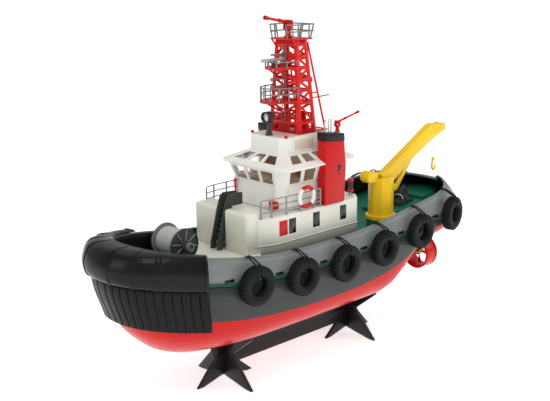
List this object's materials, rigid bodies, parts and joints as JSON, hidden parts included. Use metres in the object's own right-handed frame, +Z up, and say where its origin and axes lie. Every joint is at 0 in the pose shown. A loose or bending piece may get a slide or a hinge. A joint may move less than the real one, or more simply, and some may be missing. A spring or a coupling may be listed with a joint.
{
  "type": "radio-controlled tug boat",
  "caption": "Radio-controlled harbour tug on a cross-plate display stand, with lift-off superstructure, turning crane, winch, fire monitors, radar and tyre fenders.",
  "frame": {"origin": "on the surface the stand rests on, under the middle of the tug's overall box", "axes": "+X to the bow, +Y to port, +Z up"},
  "size_m": [0.5836, 0.2024, 0.4398],
  "materials": {
    "stand_black": "satin black moulded plastic",
    "hull_red": "gloss red below the waterline, dark grey above it",
    "bulwark_grey": "satin mid grey, black inside",
    "deck_green": "matt sea green",
    "cream_plastic": "satin cream plastic",
    "white_plastic": "satin white plastic",
    "clear_plastic": "clear plastic glazing",
    "fender_rubber": "shiny black rubber",
    "tyre_rubber": "dull black rubber",
    "dark_grey_plastic": "satin dark grey plastic",
    "mast_red": "gloss red plastic",
    "crane_yellow": "gloss yellow plastic",
    "plated_steel": "bright plated steel",
    "brass": "turned brass",
    "battery_wrap": "shrink wrap",
    "white_rope": "braided white line"
  },
  "bodies": {
    "stand": {"stand_spine": "stand_black", "stand_cross_front": "stand_black", "stand_cross_rear": "stand_black"},
    "boat": {"hull_shell": "hull_red", "deck": "deck_green", "bulwark": "bulwark_grey", "bow_fender_upper": "fender_rubber", "bow_fender_lower": "fender_rubber", "nozzle_port": "mast_red", "nozzle_starboard": "mast_red", "stern_tube_port": "brass", "stern_tube_starboard": "brass", "motor_port": "plated_steel", "motor_starboard": "plated_steel", "battery_pack": "battery_wrap", "receiver_box": "dark_grey_plastic", "winch_frame": "dark_grey_plastic", "towing_bitt": "dark_grey_plastic", "crane_base": "deck_green"},
    "upperworks": {"deckhouse": "cream_plastic", "stairs": "dark_grey_plastic", "wheelhouse": "white_plastic", "wheelhouse_glazing": "clear_plastic", "wheelhouse_roof": "white_plastic", "funnel_port": "mast_red", "funnel_starboard": "mast_red", "mast_frame": "mast_red", "mast_platform": "mast_red", "rail_port": "dark_grey_plastic", "rail_starboard": "dark_grey_plastic", "life_ring_port": "white_plastic", "life_ring_starboard": "white_plastic"},
    "port_shaft": {"shaft_port": "plated_steel", "propeller_port": "brass"},
    "starboard_shaft": {"shaft_starboard": "plated_steel", "propeller_starboard": "brass"},
    "winch_drum": {"winch_drum": "dark_grey_plastic", "winch_rope": "white_rope"},
    "crane_turret": {"crane_turret": "crane_yellow"},
    "crane_boom": {"crane_boom": "crane_yellow"},
    "crane_hook": {"crane_line": "white_rope", "crane_hook": "crane_yellow"},
    "mast_monitor_head": {"mast_monitor_head": "mast_red"},
    "mast_monitor_nozzle": {"mast_monitor_nozzle": "mast_red"},
    "funnel_monitor_head": {"funnel_monitor_head": "mast_red"},
    "funnel_monitor_nozzle": {"funnel_monitor_nozzle": "mast_red"},
    "radar_scanner": {"radar_scanner": "dark_grey_plastic"},
    "searchlight": {"searchlight": "dark_grey_plastic"},
    "tyre_port_1": {"tyre_port_1": "tyre_rubber"},
    "tyre_port_2": {"tyre_port_2": "tyre_rubber"},
    "tyre_port_3": {"tyre_port_3": "tyre_rubber"},
    "tyre_port_4": {"tyre_port_4": "tyre_rubber"},
    "tyre_port_5": {"tyre_port_5": "tyre_rubber"},
    "tyre_port_6": {"tyre_port_6": "tyre_rubber"},
    "tyre_starboard_1": {"tyre_starboard_1": "tyre_rubber"},
    "tyre_starboard_2": {"tyre_starboard_2": "tyre_rubber"},
    "tyre_starboard_3": {"tyre_starboard_3": "tyre_rubber"},
    "tyre_starboard_4": {"tyre_starboard_4": "tyre_rubber"},
    "tyre_starboard_5": {"tyre_starboard_5": "tyre_rubber"},
    "tyre_starboard_6": {"tyre_starboard_6": "tyre_rubber"}
  },
  "joints": [
    {"name": "boat_lift", "type": "slide", "parent": "stand", "child": "boat", "axis": [0, 0, 1], "range_m": [0, 0.15]},
    {"name": "upperworks_lift", "type": "slide", "parent": "boat", "child": "upperworks", "axis": [0, 0, 1], "range_m": [0, 0.2]},
    {"name": "port_shaft_spin", "type": "hinge", "parent": "boat", "child": "port_shaft", "pos_m": [-0.21125, 0.042, 0.102], "axis": [1, 0, 0], "continuous": true},
    {"name": "starboard_shaft_spin", "type": "hinge", "parent": "boat", "child": "starboard_shaft", "pos_m": [-0.21125, -0.042, 0.102], "axis": [1, 0, 0], "continuous": true},
    {"name": "winch_spin", "type": "hinge", "parent": "boat", "child": "winch_drum", "pos_m": [0.18275, 0, 0.1915], "axis": [0, 1, 0], "continuous": true},
    {"name": "crane_slew", "type": "hinge", "parent": "boat", "child": "crane_turret", "pos_m": [-0.13325, 0.035, 0.1658], "axis": [0, 0, 1], "range_deg": [-110, 110]},
    {"name": "boom_luff", "type": "hinge", "parent": "crane_turret", "child": "crane_boom", "pos_m": [-0.13825, 0.035, 0.214], "axis": [0, 1, 0], "range_deg": [-8, 40]},
    {"name": "hook_swing", "type": "hinge", "parent": "crane_boom", "child": "crane_hook", "pos_m": [-0.24425, 0.035, 0.2637], "axis": [0, 1, 0], "range_deg": [-35, 35]},
    {"name": "mast_monitor_turn", "type": "hinge", "parent": "upperworks", "child": "mast_monitor_head", "pos_m": [0.00175, 0, 0.4116], "axis": [0, 0, 1], "range_deg": [-120, 120]},
    {"name": "mast_monitor_tilt", "type": "hinge", "parent": "mast_monitor_head", "child": "mast_monitor_nozzle", "pos_m": [0.00175, 0, 0.42975], "axis": [0, -1, 0], "range_deg": [-25, 30]},
    {"name": "funnel_monitor_turn", "type": "hinge", "parent": "upperworks", "child": "funnel_monitor_head", "pos_m": [-0.02825, 0.054, 0.2985], "axis": [0, 0, 1], "range_deg": [-75, 75]},
    {"name": "funnel_monitor_tilt", "type": "hinge", "parent": "funnel_monitor_head", "child": "funnel_monitor_nozzle", "pos_m": [-0.02825, 0.054, 0.3104], "axis": [0, 1, 0], "range_deg": [-25, 30]},
    {"name": "radar_spin", "type": "hinge", "parent": "upperworks", "child": "radar_scanner", "pos_m": [0.02755, 0, 0.3773], "axis": [0, 0, 1], "continuous": true},
    {"name": "searchlight_turn", "type": "hinge", "parent": "upperworks", "child": "searchlight", "pos_m": [0.03575, 0, 0.2963], "axis": [0, 0, 1], "range_deg": [-160, 160]},
    {"name": "tyre_port_1_swing", "type": "hinge", "parent": "boat", "child": "tyre_port_1", "pos_m": [0.14075, 0.0822, 0.1791], "axis": [0.9995, -0.0304, 0], "range_deg": [0, 60]},
    {"name": "tyre_port_2_swing", "type": "hinge", "parent": "boat", "child": "tyre_port_2", "pos_m": [0.06895, 0.0827, 0.1725], "axis": [1, 0, 0], "range_deg": [0, 60]},
    {"name": "tyre_port_3_swing", "type": "hinge", "parent": "boat", "child": "tyre_port_3", "pos_m": [-0.00285, 0.0827, 0.1717], "axis": [1, 0, 0], "range_deg": [0, 60]},
    {"name": "tyre_port_4_swing", "type": "hinge", "parent": "boat", "child": "tyre_port_4", "pos_m": [-0.07465, 0.0827, 0.175], "axis": [1, 0, 0], "range_deg": [0, 60]},
    {"name": "tyre_port_5_swing", "type": "hinge", "parent": "boat", "child": "tyre_port_5", "pos_m": [-0.14645, 0.0827, 0.1827], "axis": [1, 0, 0], "range_deg": [0, 60]},
    {"name": "tyre_port_6_swing", "type": "hinge", "parent": "boat", "child": "tyre_port_6", "pos_m": [-0.21825, 0.0792, 0.1924], "axis": [0.9848, 0.1739, 0], "range_deg": [0, 60]},
    {"name": "tyre_starboard_1_swing", "type": "hinge", "parent": "boat", "child": "tyre_starboard_1", "pos_m": [0.14075, -0.0822, 0.1791], "axis": [-0.9995, -0.0304, 0], "range_deg": [0, 60]},
    {"name": "tyre_starboard_2_swing", "type": "hinge", "parent": "boat", "child": "tyre_starboard_2", "pos_m": [0.06895, -0.0827, 0.1725], "axis": [-1, 0, 0], "range_deg": [0, 60]},
    {"name": "tyre_starboard_3_swing", "type": "hinge", "parent": "boat", "child": "tyre_starboard_3", "pos_m": [-0.00285, -0.0827, 0.1717], "axis": [-1, 0, 0], "range_deg": [0, 60]},
    {"name": "tyre_starboard_4_swing", "type": "hinge", "parent": "boat", "child": "tyre_starboard_4", "pos_m": [-0.07465, -0.0827, 0.175], "axis": [-1, 0, 0], "range_deg": [0, 60]},
    {"name": "tyre_starboard_5_swing", "type": "hinge", "parent": "boat", "child": "tyre_starboard_5", "pos_m": [-0.14645, -0.0827, 0.1827], "axis": [-1, 0, 0], "range_deg": [0, 60]},
    {"name": "tyre_starboard_6_swing", "type": "hinge", "parent": "boat", "child": "tyre_starboard_6", "pos_m": [-0.21825, -0.0792, 0.1924], "axis": [-0.9848, 0.1739, 0], "range_deg": [0, 60]}
  ]
}
